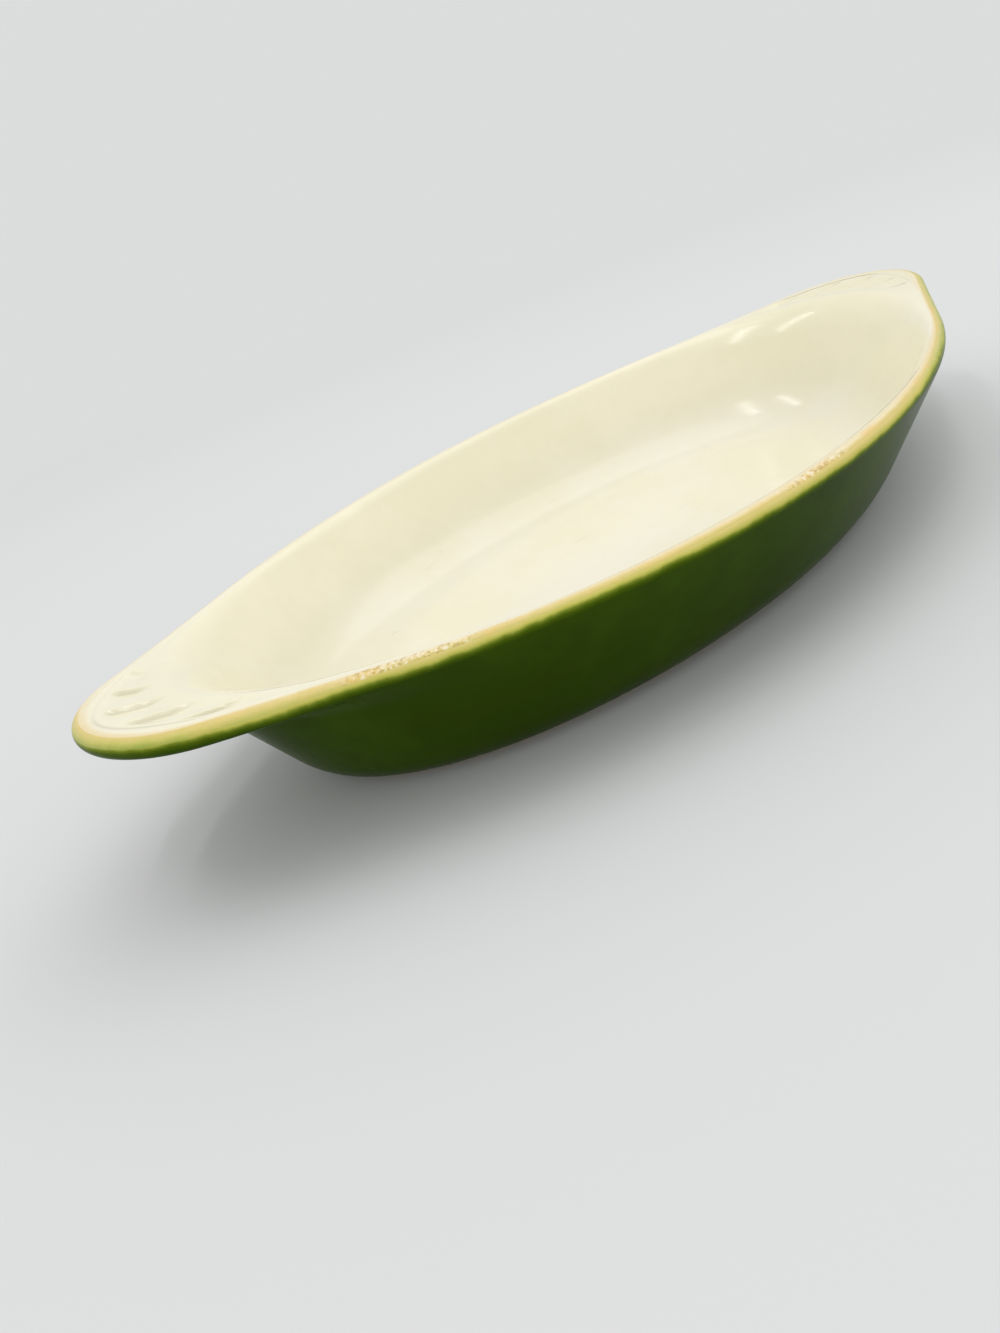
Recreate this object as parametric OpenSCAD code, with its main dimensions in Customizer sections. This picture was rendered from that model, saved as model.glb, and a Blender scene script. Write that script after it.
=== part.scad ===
// Oval eared au gratin dish of glazed stoneware, in millimetres.
// The dish stands on its foot ring, its length runs along X and the origin is the middle of the foot's face.
//
// Every surface is a loft through closed rings of points. Each ring has one point per station, and the stations
// sit at fixed angles round the dish. The rings run from the middle of the base, out to the foot, up the wall,
// over the rim and down to the middle of the bowl. The clay and its glazes are cut from the same rings, so a
// glaze meets the clay point for point and thins to nothing where the clay is left bare.

/* [Outline] */
// Length over both lugs
dish_length = 230; // [200:1:260]
// Width across the rim
dish_width = 120; // [108:1:132]
// How far each lug stands out from the basin
lug_length = 18; // [16:0.5:20]
// Radius of each lug's tip, seen from above
tip_radius = 24.5; // [22:0.5:27]
// Radius of the long sides as a share of that of the basin's own oval
side_share = 0.9; // [0.87:0.01:0.92]
// Power of the basin's oval, where 2 is an ellipse and less is more pointed
basin_power = 1.93; // [1.9:0.01:1.96]

/* [Heights] */
// Height of the rim at the middle of the long sides
rim_height = 28.6; // [27:0.2:31]
// Extra height of the rim at the lug tips
lug_lift = 3.8; // [2:0.2:6]

/* [Clay] */
// Lean of the wall from the vertical, in degrees
wall_angle = 31; // [29:0.5:33]
// Thickness of the wall
wall_thickness = 4; // [3.6:0.1:4.4]
// Thickness of the rim and of each lug
rim_thickness = 3.5; // [3.2:0.1:4]
// Height of the bowl's floor above the table
floor_height = 5; // [4.4:0.1:6]
// Size of the rounded corner between the base and the wall
corner_size = 8; // [6:0.5:9]
// Size of the cove between the bowl's floor and wall
cove_size = 12; // [9:0.5:14]
// Rounding of the bowl's lip where it turns down from a lug
lip_size = 3.5; // [2.5:0.1:4.5]

/* [Foot] */
// Width of the bare ring that the dish stands on
foot_ring_width = 5; // [4:0.5:7]
// Depth of the recess inside the foot ring
foot_recess = 1.2; // [0.8:0.1:1.6]

/* [Lug relief] */
// Depth of the slanted flutes in each lug
flute_depth = 0.5; // [0.3:0.05:0.8]
// Depth of the field that the flutes lie in
field_depth = 0.2; // [0.1:0.05:0.4]
// Width of the plain border between the rim's edge and the field, as a share of the lug's top
border_share = 0.1; // [0.08:0.01:0.14]

/* [Glaze] */
// Thickness of each coat of glaze
glaze = 0.4; // [0.3:0.05:0.6]

/* [Hidden] */
half_length = dish_length / 2;
half_width = dish_width / 2;
// Outer length of the basin where the lugs spring from it, and the radius of its long sides
basin_length = dish_length - 2 * lug_length;
side_radius = side_share * pow(basin_length / 2, 2) / half_width;
rim_radius = rim_thickness / 2;
// Height of the middle of the rounded rim at the long sides
rim_axis = rim_height - rim_radius;
flare = tan(wall_angle);
// Half width at which the wall's line would pass the rim's axis, so that the wall runs into the rounded rim
wall_half_width = half_width - rim_radius + rim_radius / cos(wall_angle);
// Wall thickness measured level
wall_level = wall_thickness / cos(wall_angle);
// Share of the lift along the length: the rim stays nearly level over the bowl and sweeps up at the lugs
lift_power = 2.8;
// Height of the smooth turn from the wall into the lug's underside
under_reach = 7;

// The outline is a side arc, a straight flank and a tip arc. This is the angle of the flank's normal.
tip_centre = half_length - tip_radius;
side_centre = side_radius - half_width;
flank_normal = 90 + atan2(side_centre, tip_centre)
    - asin((side_radius - tip_radius) / norm([tip_centre, side_centre]));

// Stations in one quarter of the outline: round half a lug's tip, along its flank and along half a side.
tip_stations = 10;
// Stations across one flute of the lug relief
flute_stations = 4;
flank_stations = 3;
side_stations = 6;
flank_start = [tip_centre + tip_radius * cos(flank_normal), tip_radius * sin(flank_normal)];
flank_end = [side_radius * cos(flank_normal), side_radius * sin(flank_normal) - side_centre];
quarter = concat(
    [for (i = [0 : tip_stations - 1])
        let (turn = flank_normal * i / tip_stations)
        atan2(tip_radius * sin(turn), tip_centre + tip_radius * cos(turn))],
    [for (i = [0 : flank_stations - 1])
        let (point = flank_start + (flank_end - flank_start) * i / flank_stations)
        atan2(point[1], point[0])],
    [for (i = [0 : side_stations - 1])
        let (turn = flank_normal + (90 - flank_normal) * i / side_stations)
        atan2(side_radius * sin(turn) - side_centre, side_radius * cos(turn))]);
quarter_count = len(quarter);
station_count = 4 * quarter_count;

// Angle of any station, counted anticlockwise from the lug at +X
function station_angle(k) =
    let (turn = floor(k / quarter_count), step = k - turn * quarter_count)
    turn % 2 == 0 ? 90 * turn + quarter[step]
    : step == 0 ? 90 * turn
    : 90 * (turn + 1) - quarter[quarter_count - step];

// Stations from the nearest lug's tip, signed
function tip_step(k) =
    let (half = 2 * quarter_count, step = k % half)
    step > quarter_count ? step - half : step;

// The mesh is swept round a little from the outer side to the inner side of each lug, so that its lines run
// along the slanted flutes. The sweep fades to nothing along the flanks. It is counted in whole stations, back
// on the outer side and on at the bowl, so that every ring keeps a point at the tip.
sweep_angle = quarter[1];
outer_sweep = -1;
bowl_sweep = 2;
function sweep_fade(angle) =
    let (off = abs(((angle + 90) % 180) - 90), full = quarter[tip_stations], none = quarter[quarter_count - 4])
    max(0, min(1, (none - off) / (none - full)));
function swept(k, sweep) =
    let (angle = station_angle(k))
    angle + sweep * sweep_angle * sweep_fade(angle);

function smooth(t) = let (u = max(0, min(1, t))) u * u * (3 - 2 * u);
function mix(a, b, t) = a + (b - a) * t;
function bend(a, b, c, t) = mix(mix(a, b, t), mix(b, c, t), t);
function bend4(a, b, c, d, t) = mix(bend(a, b, c, t), bend(b, c, d, t), t);

// Angle folded into the first quarter, where the outline is worked out
function folded(angle) = let (a = ((angle % 180) + 180) % 180) a > 90 ? 180 - a : a;

// Distance from the middle to the dish's outline, moved inwards by an inset
function edge_reach(angle, inset) =
    let (a = folded(angle),
        tip = tip_radius - inset,
        side = side_radius - inset,
        tip_end = atan2(tip * sin(flank_normal), tip_centre + tip * cos(flank_normal)),
        side_start = atan2(side * sin(flank_normal) - side_centre, side * cos(flank_normal)))
    a < tip_end ? tip_centre * cos(a) + sqrt(pow(tip, 2) - pow(tip_centre * sin(a), 2))
    : a < side_start ? (tip_centre * cos(flank_normal) + tip) / cos(a - flank_normal)
    : sqrt(pow(side, 2) - pow(side_centre * cos(a), 2)) - side_centre * sin(a);

// Distance from the middle to the basin's leaning wall at a height, moved inwards by an inset
function wall_reach(angle, height, inset) =
    let (a = folded(angle), grow = flare * (height - rim_axis) - inset)
    pow(pow(cos(a) / (basin_length / 2 + grow), basin_power)
        + pow(sin(a) / (wall_half_width + grow), basin_power), -1 / basin_power);

// Height of the rim's crest over a place along the length
function rim_top(x) = rim_height + lug_lift * pow(min(1, abs(x) / half_length), lift_power);
function crest(angle) = rim_top(edge_reach(angle, 0) * cos(angle));

// A row gives one ring's reach, height and outward slope at an angle. The slope is that of the surface's
// normal in degrees: 0 faces outwards, 90 up and -90 down.

// Flat rows of the base, by inset from the outer wall's line at the table
function base_row(angle, inset, height) = [wall_reach(angle, 0, inset), height, -90];

// Rounded corner from the foot ring's outer edge to the wall
function corner_row(angle, t) =
    let (p = bend([wall_reach(angle, 0, corner_size - 1), 0], [wall_reach(angle, 0, 0), 0],
        [wall_reach(angle, corner_size, 0), corner_size], t))
    [p[0], p[1], mix(-90, -wall_angle, t)];

// Where the rounded rim starts: under the edge at a lug, and in line with the wall at the long sides
function rim_start(angle) =
    let (overhang = edge_reach(angle, 0) - wall_reach(angle, rim_axis, 0))
    mix(-wall_angle, -90, smooth(overhang / 8));
function edge_point(angle, slope) =
    [edge_reach(angle, rim_radius * (1 - cos(slope))), crest(angle) - rim_radius * (1 - sin(slope))];
function edge_row(angle, t) =
    let (slope = mix(rim_start(angle), 90, t), p = edge_point(angle, slope))
    [p[0], p[1], slope];

// Turn from the wall into the underside of a lug, which is a straight run where there is no lug
function under_row(angle, t) =
    let (low = crest(angle) - rim_radius - under_reach,
        a = [wall_reach(angle, low, 0), low],
        along = [wall_reach(angle, low + 1, 0) - a[0], 1],
        slope = rim_start(angle),
        d = edge_point(angle, slope),
        overhang = max(0, d[0] - wall_reach(angle, d[1], 0)),
        span = norm(d - a),
        b = a + along / norm(along) * min(0.36 * span, 5),
        c = d - [-sin(slope), cos(slope)] * max(0.3 * min(span, under_reach), overhang - 3),
        p = bend4(a, b, c, d, t))
    [p[0], p[1], mix(-wall_angle, slope, t)];

// Corner that the bowl's wall and the rim's top would meet at without the lip's rounding
function lip_corner(angle) =
    min(wall_reach(angle, crest(angle), wall_level), edge_reach(angle, rim_radius) - 0.4);
function lip_run(angle) = min(lip_size, 0.6 * (edge_reach(angle, rim_radius) - lip_corner(angle)));

// Top of the rim and of the lugs, from the rounded edge at 0 to the lip at 1
function top_row(angle, t) =
    let (r = mix(edge_reach(angle, rim_radius), lip_corner(angle) + lip_run(angle), t))
    [r, mix(crest(angle), rim_top(r * cos(angle)), smooth(t)), 90];

// Lip from the top down to the bowl's wall
function lip_height(angle) = rim_top((lip_corner(angle) + lip_run(angle)) * cos(angle));
function lip_drop(angle) = 1 + 1.2 * lip_run(angle);
function lip_row(angle, t) =
    let (top = lip_height(angle),
        low = top - lip_drop(angle),
        corner = lip_corner(angle),
        p = bend([corner + lip_run(angle), top], [corner, top],
            [min(corner - 0.3, wall_reach(angle, low, wall_level)), low], t))
    [p[0], p[1], mix(90, 180 - wall_angle, t)];

// Cove from the bowl's wall to its floor
function cove_row(angle, t) =
    let (high = floor_height + cove_size * 0.8,
        p = bend([wall_reach(angle, high, wall_level), high],
            [wall_reach(angle, floor_height, wall_level), floor_height],
            [wall_reach(angle, floor_height, wall_level + cove_size), floor_height], t))
    [p[0], p[1], mix(180 - wall_angle, 90, t)];

// The rings in order. Each is a kind, its place within that kind, the sweep at a lug and 1 where it is glazed.
foot_inset = corner_size - 1 + foot_ring_width;
rings = concat(
    [["base", foot_inset + 4.5, foot_recess, outer_sweep, 1],
        ["base", foot_inset + 1.5, foot_recess, outer_sweep, 0],
        ["base", foot_inset, 0, outer_sweep, 0],
        ["corner", 0, 0, outer_sweep, 0],
        ["corner", 0.3, 0, outer_sweep, 0]],
    [for (t = [0.55, 0.8, 1]) ["corner", t, 0, outer_sweep, 1]],
    [for (t = [0, 0.25, 0.5, 0.7, 0.85]) ["under", t, 0, outer_sweep, 1]],
    [for (t = [0, 0.25, 0.5]) ["edge", t, 0, outer_sweep, 1]],
    [for (t = [0.64, 0.82, 1]) ["edge", t, 0, outer_sweep, 0]],
    [for (t = [border_share * 0.6, border_share, 0.24, 0.38, 0.52, 0.66, 0.8, 0.92])
        ["top", t, 0, mix(outer_sweep, bowl_sweep, mix(t, smooth(t), 0.25)), 1]],
    [for (t = [0, 0.4, 0.75, 1]) ["lip", t, 0, bowl_sweep, 1]],
    [for (t = [0, 0.25, 0.5, 0.75, 1]) ["cove", t, 0, bowl_sweep, 1]]);
ring_count = len(rings);
function last_bare(from, i) = i < len(rings) && rings[i][0] == from && rings[i][4] == 0 ? i : last_bare(from, i - 1);
function first_bare(from, i) = rings[i][0] == from && rings[i][4] == 0 ? i : first_bare(from, i + 1);
base_edge = first_bare("base", 0);
outer_low = last_bare("corner", ring_count - 1);
outer_high = first_bare("edge", 0);
inner_edge = last_bare("edge", ring_count - 1);

// Relief of a lug's top: a shallow field inside a plain border, crossed by flutes along the mesh's lines. Going
// round the lug, each flute rises slowly and drops sharply. The relief fades out towards the lip.
function relief(ring, k) =
    let (step = tip_step(k),
        t = ring[1],
        border = smooth((t - border_share * 0.6) / (border_share * 0.4)),
        fade = smooth((0.92 - t) / 0.4) * smooth((tip_stations + 1 - abs(step)) / 2),
        rise = (step + 1 + station_count) % flute_stations / (flute_stations - 1))
    ring[0] == "top" ? border * fade * (field_depth + flute_depth * (1 - rise)) : 0;

// One ring of points, at a depth below the finished surface where the ring is glazed
function ring_row(ring, angle) =
    ring[0] == "base" ? base_row(angle, ring[1], ring[2])
    : ring[0] == "corner" ? corner_row(angle, ring[1])
    : ring[0] == "under" ? under_row(angle, ring[1])
    : ring[0] == "edge" ? edge_row(angle, ring[1])
    : ring[0] == "top" ? top_row(angle, ring[1])
    : ring[0] == "lip" ? lip_row(angle, ring[1])
    : cove_row(angle, ring[1]);
function ring_points(ring, depth) =
    [for (k = [0 : station_count - 1])
        let (angle = swept(k, ring[3]),
            row = ring_row(ring, angle),
            inset = depth * ring[4],
            r = row[0] - inset * cos(row[2]),
            z = row[1] - inset * sin(row[2]) - relief(ring, k))
        [r * cos(angle), r * sin(angle), z]];

// Triangles between two rings whose points start at two places in the point list, facing away from the clay
function band(low, high) =
    [for (k = [0 : station_count - 1])
        let (n = (k + 1) % station_count)
        each [[low + k, high + k, high + n], [low + k, high + n, low + n]]];
function flipped(faces) = [for (f = faces) [f[0], f[2], f[1]]];
function skin(first, count) =
    [for (i = [0 : 1 : count - 2]) each band(first + i * station_count, first + (i + 1) * station_count)];
// Fan from a middle point to the first ring, and from the last ring to a middle point
function fan_out(middle, ring) =
    [for (k = [0 : station_count - 1]) [middle, ring + k, ring + (k + 1) % station_count]];
function fan_in(ring, middle) =
    [for (k = [0 : station_count - 1]) [ring + k, middle, ring + (k + 1) % station_count]];

function all_points(from, to, depth) = [for (i = [from : to]) each ring_points(rings[i], depth)];

// Piece to draw

// Fired clay: foot ring, base, wall, rim and both fluted lugs in one casting
module stoneware_body() {
    points = concat(
        [[0, 0, foot_recess + glaze]],
        all_points(0, ring_count - 1, glaze),
        [[0, 0, floor_height - glaze]]);
    last_ring = 1 + (ring_count - 1) * station_count;
    color([0.80, 0.70, 0.52])
    polyhedron(points, concat(
        fan_out(0, 1),
        skin(1, ring_count),
        fan_in(last_ring, len(points) - 1)));
}

// Cream coat over the bowl, the lip and the tops of the lugs, thinning out on the rim
module inner_glaze() {
    count = ring_count - inner_edge;
    face = all_points(inner_edge, ring_count - 1, 0);
    back = all_points(inner_edge + 1, ring_count - 1, glaze);
    points = concat(face, [[0, 0, floor_height]], back, [[0, 0, floor_height - glaze]]);
    face_middle = count * station_count;
    back_start = face_middle + 1;
    color([0.93, 0.90, 0.80])
    polyhedron(points, concat(
        skin(0, count),
        fan_in(face_middle - station_count, face_middle),
        flipped(concat(
            band(0, back_start),
            skin(back_start, count - 1),
            fan_in(len(points) - 1 - station_count, len(points) - 1)))));
}

// Green coat over the outer wall and the undersides of the lugs, thinning out above the foot and on the rim
module outer_glaze() {
    count = outer_high - outer_low + 1;
    face = all_points(outer_low, outer_high, 0);
    back = all_points(outer_low + 1, outer_high - 1, glaze);
    points = concat(face, back);
    back_start = count * station_count;
    color([0.16, 0.24, 0.05])
    polyhedron(points, concat(
        skin(0, count),
        flipped(concat(
            band(0, back_start),
            skin(back_start, count - 2),
            band(len(points) - station_count, back_start - station_count)))));
}

// Green coat in the recess inside the foot ring, where it touches nothing that the dish stands on
module base_glaze() {
    points = concat(
        [[0, 0, foot_recess]],
        all_points(0, base_edge, 0),
        ring_points(rings[0], glaze),
        [[0, 0, foot_recess + glaze]]);
    back_start = 1 + (base_edge + 1) * station_count;
    color([0.16, 0.24, 0.05])
    polyhedron(points, concat(
        fan_out(0, 1),
        skin(1, base_edge + 1),
        flipped(concat(
            fan_out(len(points) - 1, back_start),
            band(back_start, back_start - station_count)))));
}

stoneware_body();
inner_glaze();
outer_glaze();
base_glaze();
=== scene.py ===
# %% [markdown]
# # An au gratin dish in glazed stoneware
#
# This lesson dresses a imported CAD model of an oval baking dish. The dish is one casting of buff clay with
# a lug at each end. It is glazed cream inside and dark green outside, and on the rim both glazes run so
# thin that the clay shows through as a tan band.
#
# The CAD model gives the sizes. The pieces here follow the same rules of shape with about five times as
# many lines round the dish, so the rim and the flutes of the lugs stay smooth in a close view.

import math

import bmesh
import bpy
import numpy as np
from mathutils import Matrix, Vector


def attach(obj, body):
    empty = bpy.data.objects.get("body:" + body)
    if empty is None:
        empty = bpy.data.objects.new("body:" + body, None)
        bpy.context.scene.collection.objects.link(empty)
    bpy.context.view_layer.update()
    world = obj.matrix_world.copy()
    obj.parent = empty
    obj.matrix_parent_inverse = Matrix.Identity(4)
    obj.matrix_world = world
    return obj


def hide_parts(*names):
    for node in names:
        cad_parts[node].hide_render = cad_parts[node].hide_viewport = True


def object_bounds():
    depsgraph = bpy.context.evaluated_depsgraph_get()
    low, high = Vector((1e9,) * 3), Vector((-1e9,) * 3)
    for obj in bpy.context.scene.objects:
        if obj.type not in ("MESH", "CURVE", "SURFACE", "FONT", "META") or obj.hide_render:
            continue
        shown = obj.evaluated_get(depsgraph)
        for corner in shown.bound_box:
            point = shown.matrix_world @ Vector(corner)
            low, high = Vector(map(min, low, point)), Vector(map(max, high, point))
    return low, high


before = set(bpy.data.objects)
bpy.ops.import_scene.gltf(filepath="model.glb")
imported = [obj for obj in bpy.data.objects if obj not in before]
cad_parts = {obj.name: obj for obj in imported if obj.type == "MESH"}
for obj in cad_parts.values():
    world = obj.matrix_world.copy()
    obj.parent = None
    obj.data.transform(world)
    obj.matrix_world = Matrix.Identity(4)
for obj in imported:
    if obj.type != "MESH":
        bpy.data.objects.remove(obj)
cad_low, cad_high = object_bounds()
print("CAD nodes:", sorted(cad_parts))
print("CAD box in millimetres:", [round(1000 * (h - l), 1) for l, h in zip(cad_low, cad_high)])

# %% [markdown]
# ## The dish's driving sizes
#
# The box of the CAD model gives the length, the width and the height. The other sizes are the ones that a
# potter would write on a drawing: how far a lug stands out, how the wall leans, how thick the rim is. All
# are in metres, because Blender and the frame are.

# %% Driving sizes
MM = 0.001
HALF_LENGTH = cad_high.x
HALF_WIDTH = cad_high.y
RIM_HEIGHT = 28.6 * MM
LUG_LIFT = cad_high.z - RIM_HEIGHT
LUG_LENGTH = 18 * MM
TIP_RADIUS = 24.5 * MM
BASIN_POWER = 1.93
LIFT_POWER = 2.8
RIM_RADIUS = 1.75 * MM
WALL_ANGLE = math.radians(31)
WALL_LEVEL = 4 * MM / math.cos(WALL_ANGLE)
FLOOR_HEIGHT = 5 * MM
CORNER_SIZE = 8 * MM
COVE_SIZE = 12 * MM
SIDE_LIP, LUG_LIP = 3.5 * MM, 4.2 * MM
FOOT_RECESS = 1.2 * MM
FOOT_RING_WIDTH = 5 * MM
GLAZE = 0.4 * MM
# Radius of a side's arc, as a share of that of an ellipse as long as the basin
SIDE_SHARE = 0.9

CORNER_INSET = CORNER_SIZE - 1 * MM
FOOT_INSET = CORNER_INSET + FOOT_RING_WIDTH
BASIN_HALF_LENGTH = HALF_LENGTH - LUG_LENGTH
SIDE_RADIUS = SIDE_SHARE * BASIN_HALF_LENGTH ** 2 / HALF_WIDTH
RIM_AXIS = RIM_HEIGHT - RIM_RADIUS
WALL_HALF_WIDTH = HALF_WIDTH - RIM_RADIUS + RIM_RADIUS / math.cos(WALL_ANGLE)
print("Rim at the sides and at the lugs, mm:", 1000 * RIM_HEIGHT, round(1000 * (RIM_HEIGHT + LUG_LIFT), 1))

# %% [markdown]
# ## The outline, seen from above
#
# A long shallow arc makes each side, a small arc makes each lug's tip, and a straight flank joins them.
# The basin under the rim is a plain oval that the lugs spring from. Both curves are written as a reach:
# the distance from the middle of the dish at an angle. One angle then gives matching points on every
# curve, which is what a loft needs.

# %% Outline and basin
TIP_CENTRE = HALF_LENGTH - TIP_RADIUS
SIDE_CENTRE = SIDE_RADIUS - HALF_WIDTH
FLANK_NORMAL = (math.pi / 2 + math.atan2(SIDE_CENTRE, TIP_CENTRE)
                - math.asin((SIDE_RADIUS - TIP_RADIUS) / math.hypot(TIP_CENTRE, SIDE_CENTRE)))


def folded(angle):
    """The angle in the first quarter of the dish that has the same shape."""
    return np.arctan2(np.abs(np.sin(angle)), np.abs(np.cos(angle)))


def edge_reach(angle, inset=0.0):
    """Distance from the middle to the outline, moved inwards by an inset."""
    a = folded(angle)
    tip = TIP_RADIUS - inset
    side = SIDE_RADIUS - inset
    tip_end = np.arctan2(tip * np.sin(FLANK_NORMAL), TIP_CENTRE + tip * np.cos(FLANK_NORMAL))
    side_start = np.arctan2(side * np.sin(FLANK_NORMAL) - SIDE_CENTRE, side * np.cos(FLANK_NORMAL))
    on_tip = TIP_CENTRE * np.cos(a) + np.sqrt(np.maximum(0, tip ** 2 - (TIP_CENTRE * np.sin(a)) ** 2))
    on_flank = (TIP_CENTRE * np.cos(FLANK_NORMAL) + tip) / np.cos(a - FLANK_NORMAL)
    on_side = np.sqrt(side ** 2 - (SIDE_CENTRE * np.cos(a)) ** 2) - SIDE_CENTRE * np.sin(a)
    return np.where(a < tip_end, on_tip, np.where(a < side_start, on_flank, on_side))


def wall_reach(angle, height, inset=0.0):
    """Distance from the middle to the basin's leaning wall at a height, moved inwards by an inset."""
    a = folded(angle)
    grow = np.tan(WALL_ANGLE) * (height - RIM_AXIS) - inset
    along = (np.cos(a) / (BASIN_HALF_LENGTH + grow)) ** BASIN_POWER
    across = (np.sin(a) / (WALL_HALF_WIDTH + grow)) ** BASIN_POWER
    return (along + across) ** (-1 / BASIN_POWER)


def rim_top(x):
    """Height of the rim over a place along the length: level over the bowl, rising at the lugs."""
    return RIM_HEIGHT + LUG_LIFT * np.minimum(1, np.abs(x) / HALF_LENGTH) ** LIFT_POWER


def crest(angle):
    return rim_top(edge_reach(angle) * np.cos(angle))


print("Flank leans", round(90 - math.degrees(FLANK_NORMAL), 1), "degrees from the length")

# %% [markdown]
# ## Stations round the dish
#
# A station is one line of points over the whole dish. They are packed closely round the lug tips, where
# the slanted flutes are, and are wider apart along the plain sides. From the outer to the inner side of a
# lug the stations are swept round by a few degrees, so a flute can simply follow a station and still come
# out slanted.

# %% Stations
TIP_STEPS, FLANK_STEPS, SIDE_STEPS = 60, 15, 21
FLUTE_STEPS = 24


def quarter_angles():
    """Angles of the stations from a lug's tip to just before the middle of a side."""
    angles = []
    for i in range(TIP_STEPS):
        turn = FLANK_NORMAL * i / TIP_STEPS
        angles.append(math.atan2(TIP_RADIUS * math.sin(turn), TIP_CENTRE + TIP_RADIUS * math.cos(turn)))
    start = Vector((TIP_CENTRE + TIP_RADIUS * math.cos(FLANK_NORMAL), TIP_RADIUS * math.sin(FLANK_NORMAL)))
    end = Vector((SIDE_RADIUS * math.cos(FLANK_NORMAL), SIDE_RADIUS * math.sin(FLANK_NORMAL) - SIDE_CENTRE))
    for i in range(FLANK_STEPS):
        point = start.lerp(end, i / FLANK_STEPS)
        angles.append(math.atan2(point.y, point.x))
    for i in range(SIDE_STEPS):
        turn = FLANK_NORMAL + (math.pi / 2 - FLANK_NORMAL) * i / SIDE_STEPS
        angles.append(math.atan2(SIDE_RADIUS * math.sin(turn) - SIDE_CENTRE, SIDE_RADIUS * math.cos(turn)))
    return np.array(angles)


QUARTER = quarter_angles()
HALF_TURN = np.concatenate([QUARTER, [math.pi / 2], math.pi - QUARTER[:0:-1]])
STATION_ANGLES = np.concatenate([HALF_TURN, HALF_TURN + math.pi])
STATIONS = len(STATION_ANGLES)
# Whole stations from the nearest tip, counted anticlockwise
TIP_STEP = (np.arange(STATIONS) + len(QUARTER)) % (2 * len(QUARTER)) - len(QUARTER)
# The sweep is counted in quarters of a flute, back on the outer side and on at the bowl
SWEEP_ANGLE = QUARTER[FLUTE_STEPS // 4]
OUTER_SWEEP, BOWL_SWEEP = -1, 2.4
FULL_SWEEP_END = QUARTER[TIP_STEPS]
NO_SWEEP_START = QUARTER[TIP_STEPS + FLANK_STEPS + SIDE_STEPS // 3]
SWEEP_FADE = np.clip((NO_SWEEP_START - folded(STATION_ANGLES)) / (NO_SWEEP_START - FULL_SWEEP_END), 0, 1)
print("Stations round the dish:", STATIONS)

# %% [markdown]
# ## The profile, row by row
#
# If the dish were sawn in half, its edge would be the profile: base, rounded corner, leaning wall,
# underside of the lug, rounded rim, top, lip, bowl wall, cove and floor. Each part of it is a small
# function that gives a reach, a height and the direction that the surface faces. The facing is used to
# step inwards by the glaze's thickness.

# %% Profile rows
# Overhang at which the underside of the rim faces straight down
LUG_OVERHANG = 8 * MM
# The underside starts this far below the rim's axis
UNDER_DEPTH = 7 * MM
# Breadth of top at which the lip is as soft as it gets, and the largest share of the top that a lip takes
BROAD_TOP, LIP_SHARE = 14 * MM, 0.6


def mix(a, b, t):
    return a + (b - a) * t


def smooth(t):
    u = np.clip(t, 0, 1)
    return u * u * (3 - 2 * u)


def bend(points, t):
    """Point on the smooth curve that a list of control points pulls on."""
    while len(points) > 1:
        points = [mix(a, b, t) for a, b in zip(points, points[1:])]
    return points[0]


def pair(reach, height):
    return np.stack(np.broadcast_arrays(reach, height))


def base_row(angle, inset, height):
    return wall_reach(angle, 0, inset), height + 0 * angle, -math.pi / 2


def corner_row(angle, t):
    p = bend([pair(wall_reach(angle, 0, CORNER_INSET), 0), pair(wall_reach(angle, 0), 0),
              pair(wall_reach(angle, CORNER_SIZE), CORNER_SIZE)], t)
    return p[0], p[1], mix(-math.pi / 2, -WALL_ANGLE, t)


def rim_start(angle):
    """Facing where the rounded rim starts: downwards at a lug, and square to the wall at the sides."""
    overhang = edge_reach(angle) - wall_reach(angle, RIM_AXIS)
    return mix(-WALL_ANGLE, -math.pi / 2, smooth(overhang / LUG_OVERHANG))


def rim_point(angle, facing):
    return pair(edge_reach(angle, RIM_RADIUS * (1 - np.cos(facing))),
                crest(angle) - RIM_RADIUS * (1 - np.sin(facing)))


def under_row(angle, t):
    low = crest(angle) - RIM_RADIUS - UNDER_DEPTH
    a = pair(wall_reach(angle, low), low)
    along = pair(wall_reach(angle, low + MM) - a[0], MM)
    along = along / np.hypot(*along)
    facing = rim_start(angle)
    d = rim_point(angle, facing)
    overhang = np.maximum(0, d[0] - wall_reach(angle, d[1]))
    span = np.hypot(*(d - a))
    b = a + along * np.minimum(0.36 * span, 5 * MM)
    pull = np.maximum(0.3 * np.minimum(span, UNDER_DEPTH), overhang - 3 * MM)
    c = d - np.stack([-np.sin(facing), np.cos(facing)]) * pull
    p = bend([a, b, c, d], t)
    return p[0], p[1], mix(-WALL_ANGLE, facing, t)


def edge_row(angle, t):
    facing = mix(rim_start(angle), math.pi / 2, t)
    p = rim_point(angle, facing)
    return p[0], p[1], facing


def lip_corner(angle):
    inner = edge_reach(angle, RIM_RADIUS)
    return np.minimum(wall_reach(angle, crest(angle), WALL_LEVEL), inner - 0.4 * MM)


def lip_run(angle):
    """Width of the rounded lip, which is softer where the top is broad."""
    top = edge_reach(angle, RIM_RADIUS) - lip_corner(angle)
    return np.minimum(mix(SIDE_LIP, LUG_LIP, smooth(top / BROAD_TOP)), LIP_SHARE * top)


def top_row(angle, t):
    reach = mix(edge_reach(angle, RIM_RADIUS), lip_corner(angle) + lip_run(angle), t)
    return reach, mix(crest(angle), rim_top(reach * np.cos(angle)), smooth(t)), math.pi / 2


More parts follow.
